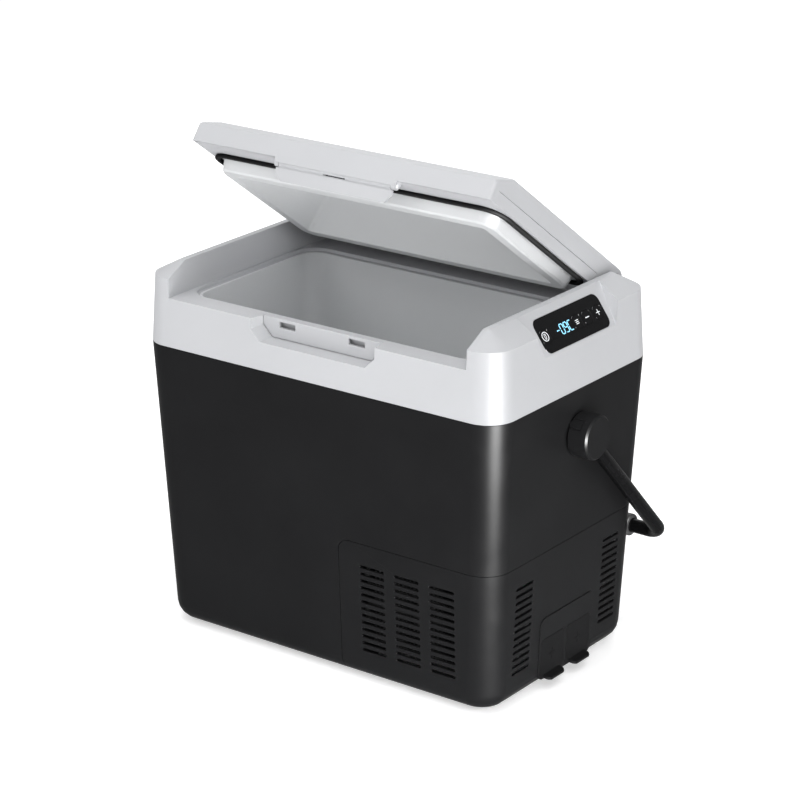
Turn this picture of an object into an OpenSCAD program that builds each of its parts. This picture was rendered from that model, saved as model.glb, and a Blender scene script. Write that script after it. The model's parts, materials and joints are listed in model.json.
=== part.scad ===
// Portable compressor cooler: insulated tub, tilting lid, carry bail and a compressor bay
// at the right-hand end. Front is -Y, the control side is +X, and z = 0 is the floor.

/* [Casing] */
// Width at the widest line, where the dark shell meets the grey frame
body_w = 465; // [430:1:500]
// Depth at the widest line
body_d = 297; // [285:1:320]
// Plan radius of the four vertical corners
corner_r = 31; // [26:1:36]
// Mould draft of the side walls, in degrees
draft = 2.5; // [1.5:0.1:3]
// Radius of the bottom edge
base_r = 20; // [12:1:22]
// Wall thickness of the mouldings
wall = 3; // [2.5:0.1:3.5]
// Height of the underside above the floor
foot_h = 2.5; // [2:0.5:4]

/* [Heights] */
// Widest line
parting_z = 329.5; // [320:0.5:335]
// Land of the frame that the lid closes on
rim_z = 384; // [380:0.5:386]
// Lower edge of the sloping band round the top
band_z = 404.5; // [402:0.5:407]
// Top of the frame and of the closed lid
top_z = 419.5; // [416:0.5:424]
// Width of the sloping band in plan
band_run = 27.7; // [24:0.1:30]

/* [Tub] */
// Half width of the mouth
tub_x = 184; // [178:1:186]
// Front edge of the mouth, forward of the centre
tub_front = 114; // [108:1:115]
// Rear edge of the mouth
tub_rear = 90; // [80:1:94]
// Plan radius of the tub corners
tub_r = 20; // [14:1:26]
// Floor of the deep part
deep_z = 45; // [40:1:60]
// Floor of the shelf over the compressor bay
shelf_z = 184; // [180:1:200]
// Where the deep part ends
step_x = 12; // [0:1:14]

/* [Compressor bay] */
// Left edge of the bay cover
bay_x = 27.5; // [26:0.5:34]
// Top edge of the bay cover
bay_z = 161.5; // [150:0.5:164]
// Radius of the cover's upper left corner
bay_r = 14; // [8:1:20]
// Number of slots in a column
slot_count = 13; // [9:1:14]
// Distance between slots
slot_pitch = 8.05; // [7.5:0.05:8.2]
// Height of the lowest slot
slot_z = 38.3; // [36:0.1:42]
// Height of a slot
slot_h = 3.6; // [3:0.1:4.2]
// Length of a slot
slot_w = 32; // [28:1:34]
// Centre of the first front column
column_x = 71.3; // [68:0.1:74]
// Distance between front columns
column_pitch = 44.7; // [40:0.1:46]

/* [Lid] */
// Half width of the lid
lid_x = 191.5; // [190:0.1:192.5]
// Hinge axis, depth
hinge_y = 131; // [128:0.5:132]
// Hinge axis, height
hinge_z = 403.3; // [402:0.1:404]
// Radius of the rounded rear edge, centred on the hinge axis
barrel_r = 17; // [16:0.1:17.5]
// Angle at which the lid stands open
lid_open = 35.7; // [0:0.1:80]

/* [Handle] */
// Pivot axis, depth
pivot_y = 4.5; // [0:0.5:10]
// Pivot axis, height
pivot_z = 280; // [270:1:284]
// Hub radius
hub_r = 24; // [20:0.5:26]
// Outer face of a hub
hub_x = 256.5; // [254:0.5:260]
// Distance from the pivot to the grip
bail_reach = 237; // [235:1:255]
// Angle of the arms below level at rest
bail_rest = 44; // [40:1:50]
// Radius of the bail tube
tube_r = 7.8; // [7:0.1:8]

/* [Hidden] */

$fn = 64;
eps = 0.01;
lean = tan(draft);
gap = 0.3;
mouth_half = (tub_front + tub_rear) / 2;
mouth_mid = (tub_rear - tub_front) / 2;
seal_z = rim_z - 3.7;

// Colours
dark = [0.13, 0.13, 0.14];
grey = [0.78, 0.79, 0.81];
pale = [0.84, 0.85, 0.86];
black = [0.05, 0.05, 0.05];
steel = [0.7, 0.71, 0.73];
copper = [0.75, 0.45, 0.3];
board = [0.1, 0.35, 0.2];

// Control panel facet: its tilt, the span of the keys and the places of the keys
facet_x = body_w / 2 - lean * (band_z - parting_z) - band_run;
facet_tilt = 54.4;
panel_s = [9.5, 47.8];
panel_y = [-52, 67.5];
key_s = 29.5;
key_size = 15;
key_y = [-42.5, 16.5, 35.4, 55.8];

// Latch: hinge axis, flap length and its inward lean while the lid is open
latch_y = -141;
latch_z = 380.3;
latch_len = 18.3;
latch_lean = 20;
latch_x = 72;
flap_x = 74.5;
strip_x = 79;
recess_x = 81;
striker_y = -130;
hook_x = 45.3;

// Lid pan that plugs into the tub mouth
pan_x = 180;
pan_front = -111;
pan_rear = 82;
pan_z = 369.5;
lid_under = rim_z + 1;

// Socket panel on the control side, measured along the wall from the widest line
flap_hinge = -271.5;
sock_y = [-46.5, 55.5];
sock_s = [-318.5, -246.5];

// Fan and condenser
fan_x = 108;
fan_y = -82;
fan_z = 84;
fan_r = 46;

// ---- plain shapes ----

// A rounded rectangle, centred
module rrect(w, h, r) {
    square([w - 2 * r, h], center = true);
    square([w, h - 2 * r], center = true);
    for (sx = [-1, 1])
        for (sy = [-1, 1])
            translate([sx * (w / 2 - r), sy * (h / 2 - r)]) circle(r);
}

// A rounded rectangle between two corners
module rspan(x, y, r) {
    translate([(x[0] + x[1]) / 2, (y[0] + y[1]) / 2]) rrect(x[1] - x[0], y[1] - y[0], r);
}

// One hull through rounded rectangles. A level is [z, half x, half y, radius, x centre, y centre].
module levels(list, facets) {
    hull()
        for (l = list)
            for (sx = [-1, 1])
                for (sy = [-1, 1])
                    translate([l[4] + sx * (l[1] - l[3]), l[5] + sy * (l[2] - l[3]), l[0]])
                        cylinder(h = eps, r = l[3], $fn = facets);
}

// Rod along X between two places
module rod_x(x0, x1, r) {
    translate([x0, 0, 0]) rotate([0, 90, 0]) cylinder(h = x1 - x0, r = r);
}

module rod_y(y0, y1, r) {
    translate([0, y0, 0]) rotate([-90, 0, 0]) cylinder(h = y1 - y0, r = r);
}

// ---- casing outline ----

function inset(z) = lean * abs(z - parting_z);
function ring(z, w, cut) =
    [z, body_w / 2 - inset(z) - w - cut, body_d / 2 - inset(z) - w - cut, corner_r - w - cut, 0, 0];
// Levels of the bottom edge, an arc that shrinks with the wall offset w
function base_rings(w) = [
    for (a = [0:18:90])
        ring(foot_h + w + (base_r - w) * (1 - cos(a)), w, (base_r - w) * (1 - sin(a)))
];
// Lower shell outline, offset inwards by w and ending at height z
function lower_rings(w, z) = concat(base_rings(w), [ring(z, w, 0)]);
// Frame outline with the sloping band at the top
function upper_rings(w, z) = [
    ring(z, w, 0),
    ring(band_z, w, 0),
    [top_z, body_w / 2 - inset(band_z) - band_run - w, body_d / 2 - inset(band_z) - band_run - w, 4, 0, 0]
];

// Bay cover outline in XZ, grown by g, drawn from below the floor and past the side wall
module bay_outline(g) {
    translate([bay_x + bay_r, -20]) square([260, bay_z + 20 + g]);
    translate([bay_x - g, -20]) square([200, bay_z + 20 - bay_r]);
    translate([bay_x + bay_r, bay_z - bay_r]) circle(bay_r + g);
}

module through_y(y0, y1) {
    translate([0, y1, 0]) rotate([90, 0, 0]) linear_extrude(y1 - y0) children();
}

// ---- tub outline: a deep part and a shelf, offset outwards by w ----

function bowl(z, x0, x1, w, cut, r) =
    [z, (x1 - x0) / 2 + w - cut, mouth_half + w - cut, r + w, (x0 + x1) / 2, mouth_mid];
function bowl_levels(floor_z, x0, x1, w, top) = [
    bowl(floor_z - w, x0, x1, w, 16, 8),
    bowl(floor_z - w + 3, x0, x1, w, 8, 12),
    bowl(floor_z - w + 12, x0, x1, w, 3, tub_r - 3),
    bowl(top, x0, x1, w, 0, tub_r)
];

module tub(w, top) {
    levels(bowl_levels(deep_z, -tub_x, step_x, w, top), 32);
    levels(bowl_levels(shelf_z, -tub_x, tub_x, w, top), 32);
}

// ---- places ----

// Right-hand wall below the widest line: X outwards, Z up along the wall
module on_side() {
    translate([body_w / 2, 0, parting_z]) rotate([0, draft, 0]) children();
}

// Control facet: X down the slope, Z outwards
module on_facet() {
    translate([facet_x, 0, top_z]) rotate([0, facet_tilt, 0]) children();
}

// Lid parts are drawn closed and turned open here
module in_lid() {
    translate([0, hinge_y, hinge_z]) rotate([-lid_open, 0, 0]) translate([0, -hinge_y, -hinge_z]) children();
}

// Latch parts are drawn hanging straight down from their axis
module in_latch() {
    in_lid() translate([0, latch_y, latch_z]) rotate([latch_lean, 0, 0]) children();
}

// Handle parts: X across, Y from the pivot towards the grip
module in_handle() {
    translate([0, pivot_y, pivot_z]) rotate([-bail_rest, 0, 0]) children();
}

// ---- casing ----

module outer_shell() {
    color(dark) difference() {
        union() {
            difference() {
                levels(lower_rings(0, parting_z - gap), 48);
                levels(concat(lower_rings(wall, parting_z - gap), [ring(parting_z + 1, wall, 0)]), 32);
            }
            intersection() {
                levels(lower_rings(wall - 0.5, parting_z - 60), 32);
                through_y(-160, 160) difference() {
                    bay_outline(wall);
                    bay_outline(0);
                }
            }
        }
        through_y(-160, 160) bay_outline(0);
        translate([0, pivot_y, pivot_z]) rod_x(-240, 240, 15.1);
    }
}

module top_frame() {
    color(grey) difference() {
        union() {
            difference() {
                levels(upper_rings(0, parting_z + gap), 48);
                difference() {
                    levels([ring(parting_z, wall, 0), ring(rim_z - wall, wall, 0)], 32);
                    linear_extrude(rim_z) mouth(9);
                    translate([-recess_x - 4, -body_d / 2, 355]) cube([2 * recess_x + 8, 33, 40]);
                }
            }
            skirt();
        }
        frame_mouth();
        lid_channel();
        latch_recess();
        on_facet() facet_cut();
        on_facet() translate([0, 0, -11]) linear_extrude(12)
            rspan([panel_s[0] - gap, panel_s[1] + gap], [panel_y[0] - gap, panel_y[1] + gap], 9);
        translate([0, hinge_y, hinge_z]) rod_x(-206, 206, 4.05);
    }
}

// Locating lip that drops inside the lower shell
module skirt() {
    difference() {
        union() {
            levels([ring(parting_z - 10, wall + 0.4, 0), ring(parting_z + 2, wall + 0.4, 0)], 32);
            levels([ring(parting_z + gap, 1, 0), ring(parting_z + 4, 1, 0)], 32);
        }
        levels([ring(parting_z - 11, wall + 3, 0), ring(parting_z + 5, wall + 3, 0)], 32);
    }
}

// The mouth outline grown by g
module mouth(g) {
    translate([0, mouth_mid]) rrect(2 * (tub_x + g), 2 * (mouth_half + g), tub_r + g);
}

// Opening for the liner, with a lowered seat for the lid's seal
module frame_mouth() {
    linear_extrude(top_z) mouth(3.5);
    translate([0, 0, seal_z]) linear_extrude(top_z) mouth(6);
}

// The space between the rails that the lid closes into
module lid_channel() {
    translate([-lid_x - 2.5, -200, rim_z]) cube([2 * lid_x + 5, 400, 60]);
}

// Finger and latch recess in the front edge: bevelled mouth, back pocket behind the striker
module latch_recess() {
    hull() {
        translate([0, -body_d / 2 - 1, 0]) recess_face(recess_x, 360.3);
        translate([0, striker_y + 4, 0]) recess_face(recess_x - 4, 362);
    }
    translate([-66, striker_y + 3.9, 366]) cube([132, 4, rim_z - 368]);
}

module recess_face(x, z) {
    rotate([90, 0, 0]) linear_extrude(eps)
        polygon([[-x, 390], [-x, z + 12], [-x + 12, z], [x - 12, z], [x, z + 12], [x, 390]]);
}

// Sloping cut that carries the control panel, with ends that taper towards the wall
module facet_cut() {
    linear_extrude(40) polygon([[-20, -74], [60, -56], [60, 71], [-20, 89]]);
}

module inner_liner() {
    color(pale) difference() {
        union() {
            tub(2, seal_z);
            translate([0, 0, seal_z - 3]) linear_extrude(3) mouth(3);
        }
        tub(0, rim_z + 1);
    }
}

module foam_insulation() {
    color([0.93, 0.88, 0.7]) difference() {
        union() {
            levels(lower_rings(wall + 4, parting_z - 12), 32);
            levels([ring(parting_z - 12.5, wall + 4, 0), ring(parting_z, wall + 4, 0),
                ring(rim_z - wall - 1, wall + 4, 0)], 32);
        }
        through_y(-160, 160) bay_outline(wall + 0.4);
        tub(4.6, rim_z + 1);
        translate([0, 0, parting_z]) linear_extrude(60) mouth(9.4);
        translate([-recess_x - 5, -body_d / 2, 354]) cube([2 * recess_x + 10, 36, 40]);
        on_facet() translate([-10, -75, -13]) cube([75, 165, 40]);
        for (s = [-1, 1])
            translate([0, pivot_y, pivot_z]) rotate([0, 0, 90 - 90 * s]) rod_x(200, 240, 23);
    }
}

// Plate wrapped round three sides of the deep part of the tub
module evaporator() {
    color(steel) intersection() {
        difference() {
            tub(4.2, rim_z + 1);
            tub(2.4, rim_z + 2);
        }
        translate([-200, -150, 75]) cube([185, 300, 225]);
    }
}

// ---- compressor bay ----

module slot() {
    square([slot_w - slot_h, slot_h], center = true);
    for (s = [-1, 1])
        translate([s * (slot_w - slot_h) / 2, 0]) circle(slot_h / 2, $fn = 24);
}

// Slots of the front and the rear wall, cut in one pass
module front_slots() {
    through_y(-200, 200)
        for (c = [0:2])
            for (i = [0:slot_count - 1])
                translate([column_x + c * column_pitch, slot_z + i * slot_pitch]) slot();
}

module side_slots() {
    translate([200, 0, 0]) rotate([90, 0, 90]) linear_extrude(60)
        for (y = [-79.5, 84.7])
            for (i = [0:slot_count - 1])
                translate([y, slot_z + i * slot_pitch]) slot();
}

module compressor_cover() {
    color(dark) difference() {
        intersection() {
            difference() {
                levels(lower_rings(0, parting_z - 60), 48);
                levels(lower_rings(wall, parting_z - 59), 32);
            }
            through_y(-160, 160) bay_outline(-0.6);
        }
        front_slots();
        side_slots();
        on_side() translate([-12, 0, 0]) rotate([90, 0, 90]) linear_extrude(20)
            rspan([sock_y[0] - gap, sock_y[1] + gap], [sock_s[0] - gap, sock_s[1] + gap], 10 + gap);
    }
}

module base_tray() {
    color(steel) difference() {
        translate([0, 0, foot_h + wall + 0.5]) linear_extrude(1.5) rspan([36, 196], [-106, 106], 8);
        for (p = compressor_feet)
            translate([p[0], p[1], 0]) cylinder(h = 12, r = 3);
    }
}

module feet() {
    color(black)
        for (x = [-165, 165])
            for (y = [-85, 85])
                translate([x, y, 0]) cylinder(h = foot_h, r = 13);
}

comp_x = 92;
comp_y = 30;
compressor_feet = [
    for (sx = [-1, 1])
        for (sy = [-1, 1])
            [comp_x + 50 * sx, comp_y + 42 * sy]
];

// Welded steel pot on a foot plate, with the terminal cover on its side
module compressor() {
    color(black) {
        translate([comp_x, comp_y, 18]) rotate_extrude()
            polygon([[0, 0], [40, 0], [50, 10], [52, 28], [54, 30], [54, 34], [52, 36], [50, 66],
                [42, 84], [26, 94], [0, 98]]);
        difference() {
            translate([comp_x, comp_y, 16]) linear_extrude(3) rrect(116, 100, 10);
            for (p = compressor_feet)
                translate([p[0], p[1], 10]) cylinder(h = 12, r = 5.5);
            translate([comp_x, comp_y, 17.9]) cylinder(h = 5, r = 40);
        }
        translate([comp_x + 49, comp_y - 18, 40]) cube([16, 36, 34]);
    }
}

module compressor_grommets() {
    color(black)
        for (p = compressor_feet)
            translate([p[0], p[1], 7.6]) rotate_extrude()
                polygon([[3.2, 0], [9, 0], [9, 8.3], [5.4, 8.3], [5.4, 11.5], [9, 11.5], [9, 15], [3.2, 15]]);
}

module compressor_bolts() {
    color(steel)
        for (p = compressor_feet)
            translate([p[0], p[1], 7.6]) {
                cylinder(h = 18, r = 2.9);
                translate([0, 0, 15.1]) cylinder(h = 3.5, r = 6, $fn = 6);
            }
}

// Condenser runs, their spacing and their depth
run_count = 5;
run_pitch = 21;
run_z = 42;
run_half = 52;
run_y = [-116, -99];
run_h = 3;

// Upright fins between the flat runs
module condenser_fins() {
    color(steel)
        for (i = [0:run_count - 2])
            for (x = [-50:5:50])
                translate([fan_x + x, run_y[0], run_z + run_pitch * i + run_h / 2 + 0.1])
                    cube([0.7, run_y[1] - run_y[0], run_pitch - run_h - 0.2]);
}

// Flat tube that runs to and fro across the bay
module condenser_tube() {
    color(copper) {
        for (i = [0:run_count - 1])
            translate([fan_x - run_half, run_y[0], run_z + run_pitch * i - run_h / 2])
                cube([2 * run_half, run_y[1] - run_y[0], run_h]);
        for (i = [0:run_count - 2])
            translate([fan_x + (i % 2 == 0 ? run_half : -run_half), (run_y[0] + run_y[1]) / 2,
                run_z + run_pitch * (i + 0.5)])
                rotate([90, 0, 0]) rotate([0, 0, i % 2 == 0 ? -90 : 90])
                    rotate_extrude(angle = 180) translate([run_pitch / 2, 0])
                        square([run_h, run_y[1] - run_y[0]], center = true);
    }
}

module fan_shroud() {
    color(black) difference() {
        translate([fan_x, fan_y, fan_z]) rotate([90, 0, 0]) linear_extrude(24, center = true)
            rrect(104, 104, 8);
        translate([fan_x, fan_y, fan_z]) rod_y(-13, 10, fan_r + 2);
        translate([fan_x, fan_y, fan_z]) rod_y(0, 13, fan_r - 4);
    }
    color(black) translate([fan_x, fan_y, fan_z]) {
        for (a = [45:90:315])
            rotate([0, a, 0]) translate([17.5, 7.5, -2.5]) cube([26.5, 3, 5]);
    }
}

module fan_motor() {
    color(black) translate([fan_x, fan_y, fan_z]) {
        rod_y(7.5, 11.5, 17.4);
        rod_y(-4, 7.6, 3);
    }
}

// Seven pitched blades on a hub that turns on the motor spindle
module fan_rotor() {
    color(dark) translate([fan_x, fan_y, fan_z]) difference() {
        union() {
            rod_y(-11, 5.5, 17);
            intersection() {
                rod_y(-10, 5, fan_r);
                for (a = [0:360 / 7:359])
                    rotate([0, a, 0]) rotate([32, 0, 0]) translate([12, -1, -15]) cube([40, 2, 30]);
            }
        }
        rod_y(-5, 6, 3.05);
        difference() {
            rod_y(-6, 6, 14.5);
            rod_y(-7, 7, 6);
        }
    }
}

module filter_drier() {
    color(copper) translate([168, 0, 30]) rod_y(62, 108, 9);
    color(copper) translate([168, 0, 30]) rod_y(54, 62, 3.2);
}

// Insulated suction line from the pot up to the bay ceiling
module suction_line() {
    color(black) translate([comp_x - 30, comp_y + 62, 0]) {
        translate([0, 0, 60]) cylinder(h = 100, r = 7);
        translate([0, -18, 52]) rod_y(4, 18, 4);
        translate([0, 0, 52]) sphere(6);
        translate([0, 0, 52]) cylinder(h = 9, r = 4);
    }
}

module control_board() {
    color(board) translate([150, -30, 108]) cube([62, 96, 1.6]);
    color(black) {
        for (y = [-18, 6, 30])
            translate([160, y, 109.6]) cylinder(h = 14, r = 7);
        translate([178, -22, 109.6]) cube([26, 34, 12]);
        translate([176, 22, 109.6]) cube([30, 30, 20]);
    }
}

module mains_supply() {
    color(steel) difference() {
        translate([74, 92, 100]) cube([96, 30, 48]);
        for (i = [0:7])
            translate([82 + 10.5 * i, 90, 140]) cube([5, 34, 5]);
    }
}

// ---- sockets ----

module socket_plate(grow, r) {
    rotate([90, 0, 90]) linear_extrude(6)
        rspan([sock_y[0] - grow, sock_y[1] + grow], [sock_s[0] - grow, sock_s[1] + grow], r);
}

module flap_span(side, grow, depth) {
    y0 = side < 0 ? sock_y[0] + 3 : 5.5;
    rotate([90, 0, 90]) linear_extrude(depth)
        rspan([y0 - grow, y0 + 44.5 + grow], [sock_s[0] + 2 - grow, flap_hinge + grow], 4);
}

module socket_panel() {
    color(dark) on_side() difference() {
        translate([-5, 0, 0]) socket_plate(0, 10);
        translate([-2.2, 0, 0]) flap_span(-1, 0.4, 10);
        translate([-2.2, 0, 0]) flap_span(1, 0.4, 10);
        translate([-10, -21.5, -294]) rotate([90, 0, 90]) linear_extrude(20) rrect(30.4, 22.4, 6);
        translate([-10, 28, -294]) rotate([90, 0, 90]) linear_extrude(20) rrect(26.4, 18.4, 5);
    }
}

// Two-pin mains inlet
module mains_socket() {
    color(black) on_side() translate([-32, -21.5, -294]) {
        difference() {
            rotate([90, 0, 90]) linear_extrude(29.4) rrect(30, 22, 6);
            translate([11, 0, 0]) rotate([90, 0, 90]) linear_extrude(20) rrect(24, 15, 6);
        }
        for (y = [-5, 5])
            translate([0, y, 0]) rod_x(10, 22, 1.3);
    }
}

// Two-pin battery inlet
module battery_socket() {
    color(black) on_side() translate([-32, 28, -294]) {
        difference() {
            rotate([90, 0, 90]) linear_extrude(29.4) rrect(26, 18, 5);
            translate([13, 0, 0]) rotate([90, 0, 90]) linear_extrude(18) rrect(20.5, 12.5, 3);
        }
        for (y = [-4, 4])
            translate([12, y - 1, -3]) cube([10, 2, 6]);
    }
}

// Rubber socket cover that hinges at its top edge, with a pull tab at the bottom
module rubber_flap(side) {
    mid = side < 0 ? -21.25 : 27.75;
    color([0.16, 0.16, 0.17]) on_side() {
        translate([-1.8, 0, 0]) flap_span(side, 0, 2.9);
        translate([-2, mid, sock_s[0] + 2.3]) rotate([0, 8, 0]) linear_extrude(3) {
            translate([0, -15.5]) square([6, 31]);
            translate([0, -12]) square([12, 24]);
            for (s = [-1, 1])
                translate([6, 9.5 * s]) circle(6);
        }
        translate([1.1, mid - 5, -293]) cube([0.5, 10, 1.4]);
        translate([1.1, mid - 0.7, -299]) cube([0.5, 1.4, 13]);
    }
}

module mains_flap() {
    rubber_flap(-1);
}

module battery_flap() {
    rubber_flap(1);
}

// ---- control panel ----

module key_place(i) {
    on_facet() translate([key_s, key_y[i], 0]) children();
}

module display_panel() {
    color(black) difference() {
        on_facet() translate([0, 0, -2.4]) linear_extrude(2.8) rspan(panel_s, panel_y, 8.7);
        for (i = [0:3])
            key_place(i) translate([0, 0, -5]) linear_extrude(10) rrect(key_size + 0.5, key_size + 0.5, 4.2);
    }
}

module key(i) {
    color(black) key_place(i) {
        translate([0, 0, -2.2]) linear_extrude(2.7) rrect(key_size, key_size, 4);
        translate([0, 0, -3.6]) linear_extrude(1) rrect(key_size + 1.6, key_size + 1.6, 4.5);
        translate([0, 0, -5]) cylinder(h = 3, r = 2.5);
    }
}

module power_button() {
    key(0);
}

module set_button() {
    key(1);
}

module minus_button() {
    key(2);
}

module plus_button() {
    key(3);
}

// Seven-segment figures: a bar list per digit, drawn in the panel's plane
segment_len = 4.2;
segment_w = 1.1;
digit_bars = [
    [[0, 0, 1]],
    [[-1, 0, 1], [1, 0, 1], [-0.5, -1, 0], [-0.5, 1, 0], [0.5, -1, 0], [0.5, 1, 0]],
    [[-1, 0, 1], [0, 0, 1], [1, 0, 1], [-0.5, -1, 0], [-0.5, 1, 0], [0.5, 1, 0]],
    [[-1, 0, 1], [1, 0, 1], [-0.5, -1, 0], [0.5, -1, 0]]
];

module display_digits() {
    color([0.6, 0.9, 1])
        for (d = [0:3])
            on_facet() translate([key_s, -19 + 7.5 * d, 0.4]) digit(digit_bars[d]);
}

module digit(bars) {
    for (b = bars)
        translate([b[0] * (segment_len + segment_w), b[1] * (segment_len + segment_w) / 2, 0])
            linear_extrude(0.25)
                square(b[2] == 1 ? [segment_w, segment_len] : [segment_len, segment_w], center = true);
}

module display_board() {
    color(board) on_facet() translate([0, 0, -8.5]) linear_extrude(1.6)
        rspan([panel_s[0] + 3, panel_s[1] - 3], [panel_y[0] + 3, panel_y[1] - 3], 3);
    color(black)
        for (i = [0:3])
            key_place(i) translate([0, 0, -6.95]) cylinder(h = 1.2, r = 3);
}

// ---- handle ----

module hub_revolve(side) {
    in_handle() rotate([0, 90 * side, 0]) rotate_extrude() children();
}

// Fixed stud that the hub turns on, with the groove that its clip runs in
module handle_boss(side) {
    color(dark) translate([0, pivot_y, pivot_z]) rotate([0, 90 * side, 0]) rotate_extrude()
        polygon([[4, 219], [21, 219], [21, 225], [14.95, 225], [14.95, 237], [13, 237], [13, 241.5],
            [14.95, 241.5], [14.95, 248.5], [4, 248.5]]);
}

module handle_boss_right() {
    handle_boss(1);
}

module handle_boss_left() {
    handle_boss(-1);
}

module clip_window(side, grow, depth) {
    in_handle() rotate([90, 0, 0]) translate([0, 0, hub_r - depth]) linear_extrude(20) {
        translate([side * 242, 0]) square([9 + 2 * grow, 11 + 2 * grow], center = true);
        translate([side * 237.5, 0]) circle(5.5 + grow);
    }
}

module hub(side) {
    color(dark) difference() {
        hub_revolve(side)
            polygon([[15.05, 232.9], [hub_r - 0.8, 232.9], [hub_r, 233.7], [hub_r, hub_x - 2],
                [hub_r - 2, hub_x], [0, hub_x], [0, 250], [15.05, 250]]);
        clip_window(side, 0.4, 5);
        clip_nose(side, 2.3, 12);
        arm(side, tube_r + 0.05);
    }
}

module hub_right() {
    hub(1);
}

module hub_left() {
    hub(-1);
}

module clip_nose(side, r, start) {
    in_handle() rotate([90, 0, 0]) translate([side * 239.25, 0, start]) cylinder(h = 20 - start, r = r, $fn = 24);
}

// Spring clip in the hub wall; its nose runs in the boss groove
module hub_clip(side) {
    color(dark) {
        intersection() {
            clip_window(side, 0, 5);
            hub_revolve(side) polygon([[19.6, 230], [23.8, 230], [23.8, 248], [19.6, 248]]);
        }
        clip_nose(side, 1.9, 13.3);
    }
}

module hub_clip_right() {
    hub_clip(1);
}

module hub_clip_left() {
    hub_clip(-1);
}

// Bail geometry in the handle's own plane
arm_drop = 4;
arm_root = [246, 18.5];
arm_end = [235, bail_reach];
arm_lean = atan((arm_root[0] - arm_end[0]) / (arm_end[1] - arm_root[1]));
bend_r = 20;
bend_run = bend_r * tan((90 - arm_lean) / 2);
arm_len = norm(arm_end - arm_root) - bend_run;
// Straight tubes enter the slightly larger bends by this much
bend_lap = 2;

module arm(side, r) {
    in_handle() translate([side * arm_root[0], arm_root[1], -arm_drop])
        rotate([0, 0, side * arm_lean]) rod_y(0, arm_len + bend_lap, r);
}

module bail_bend() {
    in_handle() translate([arm_end[0] - bend_run, arm_end[1] - bend_r, -arm_drop])
        rotate([0, 0, arm_lean]) rotate_extrude(angle = 90 - arm_lean)
            translate([bend_r, 0]) circle(tube_r + 0.15);
}

module bail_bar() {
    half = arm_end[0] - bend_run + bend_lap;
    rod_x(-half, half, tube_r);
}

module handle_bail() {
    color(dark) {
        arm(1, tube_r);
        arm(-1, tube_r);
        bail_bend();
        mirror([1, 0, 0]) bail_bend();
        in_handle() translate([0, arm_end[1], -arm_drop]) bail_bar();
    }
}

// Soft grip with a flange at each end
module handle_grip() {
    half = 197;
    bore = tube_r + 0.05;
    color([0.1, 0.1, 0.11]) in_handle() translate([0, arm_end[1], -arm_drop]) rotate([0, 90, 0]) rotate_extrude()
        polygon([[bore, -half], [11.4, -half], [12.4, -half + 1], [12.4, -half + 7], [11.4, -half + 8.5],
            [11, -half + 12], [11.6, -half + 60], [11.9, 0], [11.6, half - 60], [11, half - 12],
            [11.4, half - 8.5], [12.4, half - 7], [12.4, half - 1], [11.4, half], [bore, half]]);
}

// ---- latch and hinge hardware ----

// Insert in the front recess with two windows for the latch hooks
module latch_striker() {
    x = recess_x - 4.4;
    low = 362.3;
    color(grey) difference() {
        translate([0, striker_y + 3.8, 0]) rotate([90, 0, 0]) linear_extrude(3.8)
            polygon([[-x, rim_z], [-x, low + 12], [-x + 12, low], [x - 12, low], [x, low + 12], [x, rim_z]]);
        for (s = [-1, 1])
            translate([s * hook_x - 10.5, striker_y - 1, 374]) cube([21, 6, 6.5]);
    }
}

module hinge_pins() {
    color(steel) translate([0, hinge_y, hinge_z]) {
        rod_x(178, 205.5, 4);
        rod_x(-205.5, -178, 4);
    }
}

module hinge_bushes() {
    color(black) in_lid() translate([0, hinge_y, hinge_z])
        for (s = [-1, 1])
            rotate([0, 90 * s, 0]) rotate_extrude() polygon([[4.05, 177.5], [8, 177.5], [8, 190.5],
                [10, 190.5], [10, 192], [4.05, 192]]);
}

// ---- lid, drawn closed ----

// Front outline of the closed lid, flush with the frame's front and its sloping band
lid_front = body_d / 2 - inset(lid_under);
lid_band_y = body_d / 2 - inset(band_z);
lid_top_y = lid_band_y - band_run;

// Rounded solid of the closed lid between its sides, offset inwards by w, from height z up
module lid_block(w, z, r) {
    half = lid_x - w - r;
    hull() {
        for (s = [-1, 1]) {
            translate([s * half, -lid_front + w + r, z]) cylinder(h = eps, r = r, $fn = 24);
            translate([s * half, -lid_band_y + w + r, band_z - w - 1]) sphere(r, $fn = 24);
            translate([s * half, -lid_top_y + w + r, top_z - w - r]) sphere(r, $fn = 24);
            translate([s * half, hinge_y - r, top_z - w - r]) sphere(r, $fn = 24);
        }
        translate([0, hinge_y, hinge_z]) rod_x(-half - r, half + r, barrel_r - w - r / 2, $fn = 48);
        translate([0, hinge_y, hinge_z]) rod_x(-half, half, barrel_r - w, $fn = 48);
        translate([-half - r, 0, z]) cube([2 * (half + r), hinge_y, eps]);
    }
}

module lid_shell() {
    color(grey) in_lid() difference() {
        lid_block(0, lid_under, 4);
        difference() {
            lid_block(wall, lid_under - 1, 2);
            translate([-200, hinge_y - barrel_r - 4, 370]) cube([400, 60, 60]);
        }
        for (s = [-1, 1])
            translate([s * (lid_x + 5 - wall) - 5, -lid_front + 12, 370]) cube([10, 225, 28.5]);
        translate([0, hinge_y, hinge_z])
            for (s = [-1, 1])
                rotate([0, 90 * s, 0]) {
                    translate([0, 0, 177]) cylinder(h = 20, r = 8.05);
                    translate([0, 0, 190.4]) cylinder(h = 5, r = 10.1);
                }
    }
}

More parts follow.
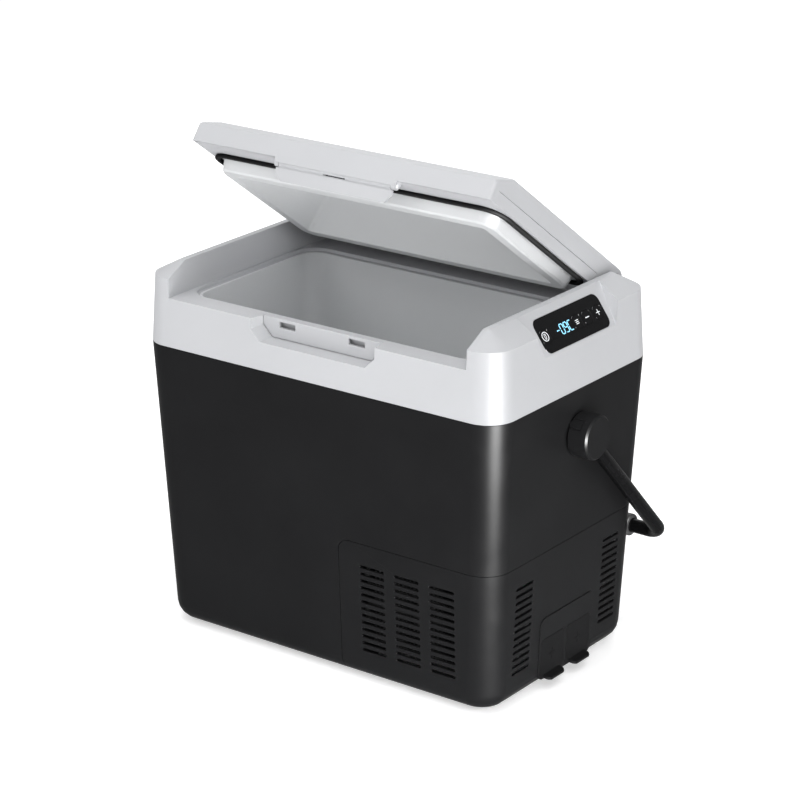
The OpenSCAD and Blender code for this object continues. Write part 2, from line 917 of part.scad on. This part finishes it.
// Underside frame with the side strips that show below the lid's side line, and the latch ears
module lid_rim() {
    x = lid_x - 0.2;
    color(grey) in_lid() {
        difference() {
            union() {
                translate([-x + wall + gap, -lid_front + 4, lid_under]) cube([2 * (x - wall - gap), 250, 2.5]);
                for (s = [-1, 1])
                    translate([s * (x - 1.75) - 1.75, -lid_front + 12.3, lid_under])
                        cube([3.5, 224.4, 13]);
            }
            translate([0, 0, 370]) linear_extrude(30) rspan([-pan_x + 6, pan_x - 6], [pan_front + 6, pan_rear - 6], 14);
        }
        for (s = [-1, 1])
            difference() {
                translate([s * 75 - 2.5, 0, 0]) rotate([90, 0, 90]) linear_extrude(5) {
                    translate([latch_y, latch_z]) circle(4.2);
                    translate([latch_y - 4.6, latch_z]) square([10.4, lid_under - latch_z + 0.1]);
                }
                translate([0, latch_y, latch_z]) rod_x(-90, 90, 1.55);
            }
        latch_strip();
    }
}

// Strip with pointed ends that covers the latch axis from the front
module latch_strip() {
    translate([0, latch_y - 4.2, latch_z]) rotate([90, 0, 0]) linear_extrude(0.9)
        polygon([[-strip_x, 4.7], [4 - strip_x, -1], [strip_x - 4, -1], [strip_x, 4.7]]);
}

function pan_ring(z, w) = [
    z, pan_x - w, (pan_rear - pan_front) / 2 - w, max(20 - w, 4), 0, (pan_rear + pan_front) / 2
];

// Pan with tapered walls and a sunken middle
module lid_liner() {
    color(pale) in_lid() difference() {
        union() {
            levels([pan_ring(lid_under - 0.05, 0), pan_ring(pan_z + 2, 3.5), pan_ring(pan_z, 6)], 32);
            levels([pan_ring(lid_under - 1, 20), pan_ring(411, 42)], 24);
        }
        levels([pan_ring(pan_z - 1, 18), pan_ring(409, 46)], 24);
        difference() {
            levels([pan_ring(lid_under + 1, 2.5), pan_ring(pan_z + 2.5, 6)], 24);
            levels([pan_ring(pan_z - 2, 15.5), pan_ring(411, 42)], 24);
        }
    }
}

module lid_foam() {
    color([0.93, 0.88, 0.7]) in_lid() difference() {
        translate([0, 0, lid_under + 3]) linear_extrude(26) rspan([-lid_x + 8, lid_x - 8], [-112, hinge_y - 24], 6);
        levels([pan_ring(lid_under - 1, 14), pan_ring(412.5, 36)], 24);
    }
}

// Bellows seal round the pan
module lid_gasket() {
    color(black) in_lid() translate([0, 0, seal_z + 0.7]) difference() {
        linear_extrude(lid_under - seal_z - 0.8) mouth(4.5);
        translate([0, 0, -1]) linear_extrude(20) mouth(-2);
    }
}

// ---- latch, drawn hanging straight down ----

module latch_flap() {
    color(grey) in_latch() difference() {
        union() {
            rod_x(-latch_x, latch_x, 4);
            translate([-latch_x, -3, -6]) cube([2 * latch_x, 4.5, 6]);
            flap_plate();
            for (s = [-1, 1])
                hook(s);
        }
        rod_x(-90, 90, 1.56);
        translate([-14, -3.3, -3.6]) cube([28, 12, 10]);
    }
}

module flap_plate() {
    translate([0, -0.6, 0]) rotate([90, 0, 0]) linear_extrude(3.4)
        polygon([[-flap_x, -4.6], [-flap_x, 8 - latch_len], [8 - flap_x, -latch_len],
            [flap_x - 8, -latch_len], [flap_x, 8 - latch_len], [flap_x, -4.6]]);
}

// Nose that enters a striker window when the flap is pushed in past its rest angle
module hook(s) {
    translate([s * hook_x - 8, 0, 0]) rotate([90, 0, 90]) linear_extrude(16)
        polygon([[-1, -4], [5.5, -6.8], [8.36, -8.46], [6.74, -10.21], [-1, -13]]);
}

module latch_pin() {
    color(steel) in_lid() translate([0, latch_y, latch_z]) rod_x(-77.4, 77.4, 1.5);
}

// Coil round the pin with a leg on the flap
module latch_spring() {
    color(steel) in_lid() translate([0, latch_y, latch_z])
        for (i = [0:7])
            translate([-8.75 + 2.5 * i, 0, 0]) rotate([0, 90, 0]) rotate_extrude()
                translate([2.6, 0]) circle(0.5, $fn = 16);
}

// ---- small hardware ----

module cover_screws() {
    color(steel)
        for (x = [60, 180])
            for (y = [-100, 100])
                translate([x, y, foot_h - 1.5]) cylinder(h = 1.5, r = 3.4);
}

// Sensor laid between the liner and the foam
module temperature_probe() {
    color(steel) translate([20, tub_rear + 0.85, 230]) rod_x(0, 30, 1.1);
}

outer_shell();
top_frame();
inner_liner();
foam_insulation();
evaporator();
compressor_cover();
base_tray();
feet();
compressor();
compressor_grommets();
compressor_bolts();
condenser_fins();
condenser_tube();
fan_shroud();
fan_motor();
fan_rotor();
filter_drier();
suction_line();
control_board();
mains_supply();
socket_panel();
mains_socket();
battery_socket();
mains_flap();
battery_flap();
display_panel();
display_digits();
display_board();
power_button();
set_button();
minus_button();
plus_button();
handle_boss_right();
handle_boss_left();
hub_right();
hub_left();
hub_clip_right();
hub_clip_left();
handle_bail();
handle_grip();
latch_striker();
hinge_pins();
hinge_bushes();
lid_shell();
lid_rim();
lid_liner();
lid_foam();
lid_gasket();
latch_flap();
latch_pin();
latch_spring();
cover_screws();
temperature_probe();
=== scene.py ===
"""Looks of the portable compressor cooler: materials, softened mouldings, panel marks, studio and camera."""

import json
import math

import bmesh
import bpy
from mathutils import Matrix, Vector


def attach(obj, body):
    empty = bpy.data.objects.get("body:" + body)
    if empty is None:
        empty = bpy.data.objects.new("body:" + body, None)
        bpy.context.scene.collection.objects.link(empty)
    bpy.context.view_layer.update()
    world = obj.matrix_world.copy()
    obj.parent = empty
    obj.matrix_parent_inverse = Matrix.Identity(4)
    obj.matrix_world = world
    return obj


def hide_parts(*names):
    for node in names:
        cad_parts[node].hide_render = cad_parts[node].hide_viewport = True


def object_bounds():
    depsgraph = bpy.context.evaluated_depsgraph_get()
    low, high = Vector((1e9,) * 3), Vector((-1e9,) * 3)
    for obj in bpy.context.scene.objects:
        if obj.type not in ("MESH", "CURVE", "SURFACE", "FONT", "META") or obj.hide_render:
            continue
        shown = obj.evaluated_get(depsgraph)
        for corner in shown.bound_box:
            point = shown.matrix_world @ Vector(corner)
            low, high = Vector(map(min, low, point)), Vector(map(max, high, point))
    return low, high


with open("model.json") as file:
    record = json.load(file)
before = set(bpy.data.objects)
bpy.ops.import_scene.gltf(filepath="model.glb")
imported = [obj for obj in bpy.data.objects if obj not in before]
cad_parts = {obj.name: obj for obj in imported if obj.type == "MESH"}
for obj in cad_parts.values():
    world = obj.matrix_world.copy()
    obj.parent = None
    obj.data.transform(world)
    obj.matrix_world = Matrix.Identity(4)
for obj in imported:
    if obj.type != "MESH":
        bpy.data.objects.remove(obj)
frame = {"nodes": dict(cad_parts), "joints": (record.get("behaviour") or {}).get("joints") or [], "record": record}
cad_low, cad_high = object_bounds()
NODES = frame["nodes"]
BODY_OF = {n: b for b, members in frame["record"]["behaviour"]["bodies"].items() for n in members}
SLOT_OF = {s["node"]: s["material_slot"] for s in frame["record"]["subparts"]}
JOINTS = {j["name"]: j for j in frame["joints"]}
MM = 0.001
WHITE = (1.0, 1.0, 1.0, 1.0)


def link_object(name, data):
    obj = bpy.data.objects.new(name, data)
    bpy.context.collection.objects.link(obj)
    return obj


def mesh_of(name, bm):
    mesh = bpy.data.meshes.new(name)
    bm.to_mesh(mesh)
    bm.free()
    return mesh


# ---- camera ----

VIEW_RIGHT = Vector((0.8054, 0.5927, 0.0)).normalized()
VIEW_BACK = Vector((0.5567, -0.7565, 0.3434)).normalized()
VIEW_UP = VIEW_BACK.cross(VIEW_RIGHT).normalized()
VIEW_PLACE = (1.7588, -2.3831, 1.3504)
LENS_MM = 131.38
SENSOR_MM = 36.0
CLIP_END_M = 50.0


def add_camera():
    data = bpy.data.cameras.new("camera")
    data.lens = LENS_MM
    data.sensor_width = SENSOR_MM
    data.clip_end = CLIP_END_M
    camera = link_object("camera", data)
    turn = Matrix((VIEW_RIGHT, VIEW_UP, VIEW_BACK)).transposed().to_4x4()
    camera.matrix_world = Matrix.Translation(VIEW_PLACE) @ turn
    bpy.context.scene.camera = camera


# ---- materials ----


def new_material(name):
    mat = bpy.data.materials.new(name)
    mat.use_nodes = True
    nodes = mat.node_tree.nodes
    nodes.clear()
    out = nodes.new("ShaderNodeOutputMaterial")
    bsdf = nodes.new("ShaderNodeBsdfPrincipled")
    mat.node_tree.links.new(bsdf.outputs["BSDF"], out.inputs["Surface"])
    return mat, mat.node_tree, bsdf


def object_coords(tree):
    return tree.nodes.new("ShaderNodeTexCoord").outputs["Object"]


def noise(tree, coords, scale, detail=2.0, roughness=0.5):
    n = tree.nodes.new("ShaderNodeTexNoise")
    n.inputs["Scale"].default_value = scale
    n.inputs["Detail"].default_value = detail
    n.inputs["Roughness"].default_value = roughness
    tree.links.new(coords, n.inputs["Vector"])
    return n.outputs["Fac"]


def ramp(tree, value, low, high, start=0.3, end=0.7):
    """Colours from low to high as value goes from start to end."""
    r = tree.nodes.new("ShaderNodeValToRGB")
    r.color_ramp.elements[0].position = start
    r.color_ramp.elements[1].position = end
    r.color_ramp.elements[0].color = (*low, 1.0)
    r.color_ramp.elements[1].color = (*high, 1.0)
    tree.links.new(value, r.inputs["Fac"])
    return r.outputs["Color"]


def roughen(tree, bsdf, value, low, high, start=0.3, end=0.7):
    """Roughness from low to high as value goes from start to end."""
    tree.links.new(ramp(tree, value, (low,) * 3, (high,) * 3, start, end), bsdf.inputs["Roughness"])


def emboss(tree, bsdf, height, strength, depth):
    """Bump of the surface, its depth in metres."""
    bump = tree.nodes.new("ShaderNodeBump")
    bump.inputs["Strength"].default_value = strength
    bump.inputs["Distance"].default_value = depth
    tree.links.new(height, bump.inputs["Height"])
    tree.links.new(bump.outputs["Normal"], bsdf.inputs["Normal"])


def scaled(colour, k):
    return tuple(min(1.0, c * k) for c in colour)


def moulded(name, colour, rough, grain, grain_depth, swing, rough_swing, specular, coat=0.0):
    """Moulded plastic or rubber: cloudy tint, uneven gloss and a fine spark-eroded grain."""
    mat, tree, bsdf = new_material(name)
    coords = object_coords(tree)
    cloud = noise(tree, coords, scale=9.0, detail=4.0, roughness=0.55)
    fine = noise(tree, coords, scale=grain, detail=3.0, roughness=0.6)
    smudge = noise(tree, coords, scale=26.0, detail=5.0, roughness=0.6)
    tint = ramp(tree, cloud, scaled(colour, 1 - swing), scaled(colour, 1 + swing))
    tree.links.new(tint, bsdf.inputs["Base Color"])
    roughen(tree, bsdf, smudge, rough - rough_swing, rough + rough_swing, start=0.35, end=0.65)
    emboss(tree, bsdf, fine, strength=0.55, depth=grain_depth)
    bsdf.inputs["Specular IOR Level"].default_value = specular
    bsdf.inputs["Coat Weight"].default_value = coat
    bsdf.inputs["Coat Roughness"].default_value = 0.08
    return mat


def drawn_metal(name, colour, rough, stretch=(900.0, 12.0, 12.0)):
    """Metal with fine lines along one way and a little stain."""
    mat, tree, bsdf = new_material(name)
    coords = object_coords(tree)
    mapping = tree.nodes.new("ShaderNodeMapping")
    mapping.inputs["Scale"].default_value = stretch
    tree.links.new(coords, mapping.inputs["Vector"])
    lines = noise(tree, mapping.outputs["Vector"], scale=1.0, detail=3.0, roughness=0.6)
    stain = noise(tree, coords, scale=30.0, detail=4.0, roughness=0.6)
    tree.links.new(ramp(tree, stain, scaled(colour, 0.86), colour), bsdf.inputs["Base Color"])
    roughen(tree, bsdf, lines, rough - 0.08, rough + 0.1)
    emboss(tree, bsdf, lines, strength=0.3, depth=0.00002)
    bsdf.inputs["Metallic"].default_value = 1.0
    return mat


def glowing(name, colour, strength):
    """Lit figures behind glass, or ink given a painted glow though it is no lamp; a touch brighter in places."""
    mat, tree, bsdf = new_material(name)
    flicker = noise(tree, object_coords(tree), scale=400.0)
    tint = ramp(tree, flicker, scaled(colour, 0.86), colour)
    tree.links.new(tint, bsdf.inputs["Base Color"])
    tree.links.new(tint, bsdf.inputs["Emission Color"])
    bsdf.inputs["Emission Strength"].default_value = strength
    bsdf.inputs["Roughness"].default_value = 0.4
    return mat


def cellular(name, colour):
    """Rigid foam with cut cells."""
    mat, tree, bsdf = new_material(name)
    coords = object_coords(tree)
    cells = tree.nodes.new("ShaderNodeTexVoronoi")
    cells.inputs["Scale"].default_value = 700.0
    tree.links.new(coords, cells.inputs["Vector"])
    mottle = noise(tree, coords, scale=40.0, detail=4.0)
    tree.links.new(ramp(tree, mottle, scaled(colour, 0.88), colour), bsdf.inputs["Base Color"])
    emboss(tree, bsdf, cells.outputs["Distance"], strength=0.8, depth=0.0004)
    bsdf.inputs["Roughness"].default_value = 0.9
    return mat


def circuit(name):
    """Green board with darker tracks."""
    mat, tree, bsdf = new_material(name)
    coords = object_coords(tree)
    tracks = tree.nodes.new("ShaderNodeTexBrick")
    tracks.inputs["Scale"].default_value = 90.0
    tracks.inputs["Color1"].default_value = (0.01, 0.10, 0.04, 1)
    tracks.inputs["Color2"].default_value = (0.015, 0.16, 0.06, 1)
    tracks.inputs["Mortar"].default_value = (0.06, 0.22, 0.10, 1)
    tree.links.new(coords, tracks.inputs["Vector"])
    tree.links.new(tracks.outputs["Color"], bsdf.inputs["Base Color"])
    roughen(tree, bsdf, noise(tree, coords, scale=60.0), 0.3, 0.45)
    return mat


# Columns: colour, roughness, grain scale, grain depth in metres, swing of the tint,
# swing of the roughness, specular level and, where there is one, the coat
MOULDINGS = {
    "dark_shell": ((0.0112, 0.0113, 0.0119), 0.36, 1500, 0.00002, 0.08, 0.03, 0.025),
    "grey_frame": ((0.455, 0.46, 0.475), 0.5, 1500, 0.00002, 0.015, 0.03, 0.03),
    "pale_liner": ((0.62, 0.63, 0.64), 0.4, 900, 0.00001, 0.015, 0.04, 0.12),
    "bail_tube": ((0.005, 0.005, 0.0055), 0.26, 1200, 0.000006, 0.08, 0.03, 0.03),
    "grip": ((0.010, 0.010, 0.011), 0.52, 700, 0.00005, 0.1, 0.05, 0.2),
    "seal": ((0.004, 0.004, 0.0045), 0.6, 900, 0.00003, 0.1, 0.06, 0.04),
    "finned_black": ((0.004, 0.004, 0.0045), 0.55, 900, 0.00001, 0.1, 0.05, 0.15),
    "display_glass": ((0.004, 0.004, 0.0045), 0.12, 60, 0.000002, 0.1, 0.02, 0.1),
    "black_plastic": ((0.008, 0.008, 0.008), 0.45, 1100, 0.00002, 0.1, 0.05, 0.2),
    "black_paint": ((0.007, 0.007, 0.008), 0.35, 160, 0.00004, 0.1, 0.05, 0.25, 0.1),
    "socket_cover": ((0.0085, 0.0085, 0.009), 0.45, 1100, 0.00003, 0.08, 0.05, 0.02),
    # painted highlight: grey lines standing in for glints on the keys' outlines
    "painted_glint": ((0.20, 0.205, 0.215), 0.3, 900, 0.00001, 0.04, 0.03, 0.4),
}
MATS = {name: moulded(name, *values) for name, values in MOULDINGS.items()}
MATS["foam"] = cellular("foam", (0.72, 0.62, 0.40))
MATS["figures"] = glowing("figures", (0.22, 0.56, 0.80), strength=1.0)
# The keys' white ink emits light: a painted glow, since the ink is no lamp
MATS["white_ink_painted_glow"] = glowing("white_ink_painted_glow", (0.78, 0.80, 0.82), strength=0.55)
MATS["steel"] = drawn_metal("steel", (0.62, 0.62, 0.63), rough=0.34)
MATS["alloy"] = drawn_metal("alloy", (0.78, 0.79, 0.80), rough=0.32, stretch=(12.0, 900.0, 12.0))
MATS["copper"] = drawn_metal("copper", (0.78, 0.40, 0.25), rough=0.28)
MATS["circuit"] = circuit("circuit")


def paint(obj, mat):
    obj.data.materials.clear()
    obj.data.materials.append(mat)
    for poly in obj.data.polygons:
        poly.material_index = 0


# ---- the plane of the keys ----

PANEL_NORMAL = (-Vector(JOINTS["power_press"]["axis"])).normalized()
PANEL_ACROSS = Vector((0.0, 1.0, 0.0))
PANEL_UP = PANEL_NORMAL.cross(PANEL_ACROSS).normalized()
FACE_DEPTH_MM = 0.02


def top_of(node):
    """Middle of the node's outermost face along the panel's normal."""
    points = [v.co for v in NODES[node].data.vertices]
    height = max(p.dot(PANEL_NORMAL) for p in points)
    face = [p for p in points if p.dot(PANEL_NORMAL) > height - FACE_DEPTH_MM * MM]
    across = [p.dot(PANEL_ACROSS) for p in face]
    up = [p.dot(PANEL_UP) for p in face]
    return (PANEL_NORMAL * height + PANEL_ACROSS * (min(across) + max(across)) / 2
            + PANEL_UP * (min(up) + max(up)) / 2)


# ---- pieces ----


def add_mesh(name, bm, mat, body, sharp_deg):
    bmesh.ops.recalc_face_normals(bm, faces=bm.faces)
    mesh = mesh_of(name, bm)
    for poly in mesh.polygons:
        poly.use_smooth = True
    mesh.set_sharp_from_angle(angle=math.radians(sharp_deg))
    obj = link_object(name, mesh)
    paint(obj, mat)
    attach(obj, body)
    return obj


def settle(obj):
    """Turns the piece's modifiers into mesh."""
    graph = bpy.context.evaluated_depsgraph_get()
    mesh = bpy.data.meshes.new_from_object(obj.evaluated_get(graph))
    obj.modifiers.clear()
    obj.data = mesh


# The facet's front end on the facet's plane, in millimetres from the power key: (down the slope, along Y)
FACET_END = ((-49.5, -31.5), (30.5, -13.5), (30.5, 62.5), (-49.5, 62.5))
FACET_END_RISE_MM = 40.0
FACET_END_SPREAD_MM = 29.0
KEY_PROUD_MM = 0.48


def flare_facet(obj):
    """Slants the end wall of the control facet, upright in the CAD node, so that it hides no key."""
    origin = top_of("power_button") - PANEL_NORMAL * KEY_PROUD_MM * MM
    bm = bmesh.new()
    rings = []
    for rise, spread in ((0.0, 0.0), (FACET_END_RISE_MM, FACET_END_SPREAD_MM)):
        ring = []
        for down, along in FACET_END:
            out = spread if along < 0 else 0.0
            place = PANEL_ACROSS * (along - out) - PANEL_UP * down + PANEL_NORMAL * rise
            ring.append(bm.verts.new(origin + place * MM))
        rings.append(ring)
    for k in range(4):
        bm.faces.new((rings[0][k], rings[0][(k + 1) % 4], rings[1][(k + 1) % 4], rings[1][k]))
    bm.faces.new(rings[0])
    bm.faces.new(rings[1])
    bmesh.ops.recalc_face_normals(bm, faces=bm.faces)
    cutter = link_object("facet_cutter", mesh_of("facet_cutter", bm))
    cut = obj.modifiers.new("cut", "BOOLEAN")
    cut.operation = "DIFFERENCE"
    cut.solver = "EXACT"
    cut.object = cutter
    settle(obj)
    bpy.data.objects.remove(cutter)


SOFT_ANGLE_DEG = 32.0
BEVEL_SEGMENTS = 2
WELD_M = 2e-6
SLIVER_M = 1e-6
FLAT_DEG = 0.4

# Width of each moulding's softened edges in millimetres; 0 evens out the shading alone
SOFT_EDGES = {
    "outer_shell": 0.7, "top_frame": 0.9, "compressor_cover": 0.35, "inner_liner": 1.2,
    "lid_shell": 0.6, "lid_rim": 0.6, "lid_liner": 1.2, "latch_flap": 0.5, "latch_striker": 0.5,
    "socket_panel": 0.5, "display_panel": 0.3, "power_button": 0.2, "set_button": 0.2,
    "minus_button": 0.2, "plus_button": 0.2, "hub_right": 0.2, "hub_left": 0.2,
    "hub_clip_right": 0.4, "hub_clip_left": 0.4, "handle_bail": 0.0, "handle_grip": 0.4,
    "mains_flap": 0.5, "battery_flap": 0.5, "feet": 0.4, "lid_gasket": 1.2,
}
RESHAPED = {"top_frame": flare_facet}
OWN_LOOK = {"mains_flap": MATS["socket_cover"], "battery_flap": MATS["socket_cover"]}


def soften(node, width_mm):
    """A copy of a CAD moulding with its edges rounded, shown in the CAD node's place."""
    bm = bmesh.new()
    bm.from_mesh(NODES[node].data)
    bmesh.ops.remove_doubles(bm, verts=bm.verts, dist=WELD_M)
    bmesh.ops.dissolve_degenerate(bm, dist=SLIVER_M, edges=bm.edges)
    bmesh.ops.dissolve_limit(bm, angle_limit=math.radians(FLAT_DEG), verts=bm.verts, edges=bm.edges)
    bmesh.ops.triangulate(bm, faces=[f for f in bm.faces if len(f.verts) > 4])
    slot = SLOT_OF[node]
    mat = OWN_LOOK.get(node, MATS[slot])
    obj = add_mesh(node + ".finish", bm, mat, BODY_OF[node], SOFT_ANGLE_DEG)
    if node in RESHAPED:
        RESHAPED[node](obj)
    if width_mm > 0:
        bevel = obj.modifiers.new("bevel", "BEVEL")
        bevel.width = width_mm * MM
        bevel.segments = BEVEL_SEGMENTS
        bevel.limit_method = "ANGLE"
        bevel.angle_limit = math.radians(SOFT_ANGLE_DEG)
        bevel.use_clamp_overlap = True
        bevel.miter_outer = "MITER_ARC"
    even = obj.modifiers.new("normals", "WEIGHTED_NORMAL")
    even.keep_sharp = True
    settle(obj)
    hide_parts(node)


def dress():
    for node, obj in NODES.items():
        paint(obj, MATS[SLOT_OF[node]])
    for node, width_mm in SOFT_EDGES.items():
        soften(node, width_mm)


# ---- control panel marks ----

INK_MM = 0.08
MARK_SHARP_DEG = 35.0
RING_POINTS = 48
KEY_BEND_MM = 3.5
GLINT_MM = 0.3
GLINT_STEPS = 8
# Painted highlights, faint grey lines standing in for glints on the left corners of each key's rounded outline:
# height of the bend's centre, then its start and end angles
KEY_GLINTS = ((3.5, 95, 150), (-3.5, 190, 215))


def arc(radius, start, end, steps, squeeze=1.0):
    turn = [math.radians(start + (end - start) * i / steps) for i in range(steps + 1)]
    return [(radius * squeeze * math.cos(a), radius * math.sin(a)) for a in turn]


def ring(radius, squeeze=1.0):
    return arc(radius, 0, 360 - 360 / RING_POINTS, RING_POINTS - 1, squeeze)


# White lines of each key, their ink given a painted glow: points in millimetres from its middle, width, and
# whether the line closes
KEY_MARKS = {
    "power_button": [(ring(4.9), 0.75, True), (ring(3.1, squeeze=0.42), 0.6, True)],
    "set_button": [([(-2.6, h), (2.6, h)], 0.7, False) for h in (1.9, 0.0, -1.9)],
    "minus_button": [([(-3.4, 0), (3.4, 0)], 0.8, False)],
    "plus_button": [([(-3.3, 0), (3.3, 0)], 0.7, False), ([(0, -3.3), (0, 3.3)], 0.7, False)],
}


def ribbon(bm, origin, points, width, closed=False):
    """A raised line of even width through points, given in millimetres across and up from origin."""
    count = len(points)
    rows = []
    for i, (x, y) in enumerate(points):
        before = points[i - 1] if i or closed else points[i]
        after = points[(i + 1) % count] if i < count - 1 or closed else points[i]
        along = Vector((after[0] - before[0], after[1] - before[1])).normalized()
        side = Vector((-along.y, along.x)) * width / 2
        row = []
        for sx, lift in ((-1, -INK_MM), (-1, INK_MM), (1, INK_MM), (1, -INK_MM)):
            place = (PANEL_ACROSS * (x + sx * side.x) + PANEL_UP * (y + sx * side.y)
                     + PANEL_NORMAL * lift)
            row.append(bm.verts.new(origin + place * MM))
        rows.append(row)
    pairs = list(zip(rows, rows[1:])) + ([(rows[-1], rows[0])] if closed else [])
    for first, second in pairs:
        for k in range(4):
            bm.faces.new((first[k], first[(k + 1) % 4], second[(k + 1) % 4], second[k]))
    if not closed:
        bm.faces.new(rows[0])
        bm.faces.new(rows[-1])


def add_line(name, node, mat, points, width, closed=False):
    bm = bmesh.new()
    ribbon(bm, top_of(node), points, width, closed)
    add_mesh(name, bm, mat, BODY_OF[node], MARK_SHARP_DEG)


def add_marks():
    for node, lines in KEY_MARKS.items():
        for k, (points, width, closed) in enumerate(lines):
            add_line(f"{node}.mark_{k}", node, MATS["white_ink_painted_glow"], points, width, closed)
        # Each key gets painted glints, grey lines where its outline would catch the light
        for k, (height, start, end) in enumerate(KEY_GLINTS):
            bend = [(x - KEY_BEND_MM, y + height) for x, y in arc(KEY_BEND_MM, start, end, GLINT_STEPS)]
            add_line(f"{node}.glint_{k}", node, MATS["painted_glint"], bend, GLINT_MM)


# ---- studio ----

MIDDLE = (0.0, 0.0, 0.25)
# Area lights: place, target and size in metres, then watts
LIGHTS = {
    "key": ((-1.3, -2.4, 2.1), MIDDLE, (1.6, 1.4), 18.0),
    "right": ((2.3, -0.3, 1.3), MIDDLE, (1.2, 1.2), 4.5),
    "inside": ((0.9, -0.9, 1.15), (-0.1, 0.05, 0.38), (0.5, 0.5), 4.0),
    "top": ((0.2, -0.2, 2.6), MIDDLE, (2.2, 1.8), 34.0),
    "corner": ((0.96, -0.50, 0.17), (0.22, -0.135, 0.16), (0.5, 0.32), 480.0),
    "under": ((0.25, -1.3, 0.30), (0.0, 0.05, 0.5), (0.9, 0.3), 3.0),
    "rim": ((-1.4, 2.4, 1.7), MIDDLE, (1.4, 1.2), 22.0),
}
GLOSS_ONLY = ("corner",)
WORLD_LIGHT = 0.55
WORLD_SEEN = 1.0
FLOOR_HALF_M = 14.0
FLOOR_GLOW = 0.42


def add_area(name, place, target, size, watts):
    data = bpy.data.lights.new(name, "AREA")
    data.shape = "RECTANGLE"
    data.size, data.size_y = size
    data.energy = watts
    light = link_object(name, data)
    direction = Vector(target) - Vector(place)
    light.location = place
    light.rotation_euler = direction.to_track_quat("-Z", "Y").to_euler()
    light.visible_diffuse = name not in GLOSS_ONLY


def add_floor():
    bm = bmesh.new()
    ends = ((-1, -1), (1, -1), (1, 1), (-1, 1))
    bm.faces.new([bm.verts.new((x * FLOOR_HALF_M, y * FLOOR_HALF_M, cad_low.z)) for x, y in ends])
    floor = link_object("floor", mesh_of("floor", bm))
    mat, tree, bsdf = new_material("floor")
    mottle = noise(tree, object_coords(tree), scale=3.0, detail=3.0)
    tree.links.new(ramp(tree, mottle, (0.80, 0.80, 0.805), (0.82, 0.82, 0.825)), bsdf.inputs["Base Color"])
    bsdf.inputs["Roughness"].default_value = 0.85
    bsdf.inputs["Specular IOR Level"].default_value = 0.1
    bsdf.inputs["Emission Color"].default_value = WHITE
    bsdf.inputs["Emission Strength"].default_value = FLOOR_GLOW
    floor.data.materials.append(mat)
    floor.visible_glossy = False


def backdrop(tree, strength):
    shade = tree.nodes.new("ShaderNodeBackground")
    shade.inputs["Color"].default_value = WHITE
    shade.inputs["Strength"].default_value = strength
    return shade.outputs["Background"]


def add_world():
    """White to the camera, dimmer as a light."""
    world = bpy.data.worlds.new("studio")
    world.use_nodes = True
    tree = world.node_tree
    tree.nodes.clear()
    out = tree.nodes.new("ShaderNodeOutputWorld")
    mix = tree.nodes.new("ShaderNodeMixShader")
    path = tree.nodes.new("ShaderNodeLightPath")
    tree.links.new(path.outputs["Is Camera Ray"], mix.inputs["Fac"])
    tree.links.new(backdrop(tree, WORLD_LIGHT), mix.inputs[1])
    tree.links.new(backdrop(tree, WORLD_SEEN), mix.inputs[2])
    tree.links.new(mix.outputs["Shader"], out.inputs["Surface"])
    bpy.context.scene.world = world


def light_studio():
    add_world()
    for name, values in LIGHTS.items():
        add_area(name, *values)
    bpy.context.scene.view_settings.view_transform = "Standard"


add_camera()
dress()
add_marks()
light_studio()
add_floor()
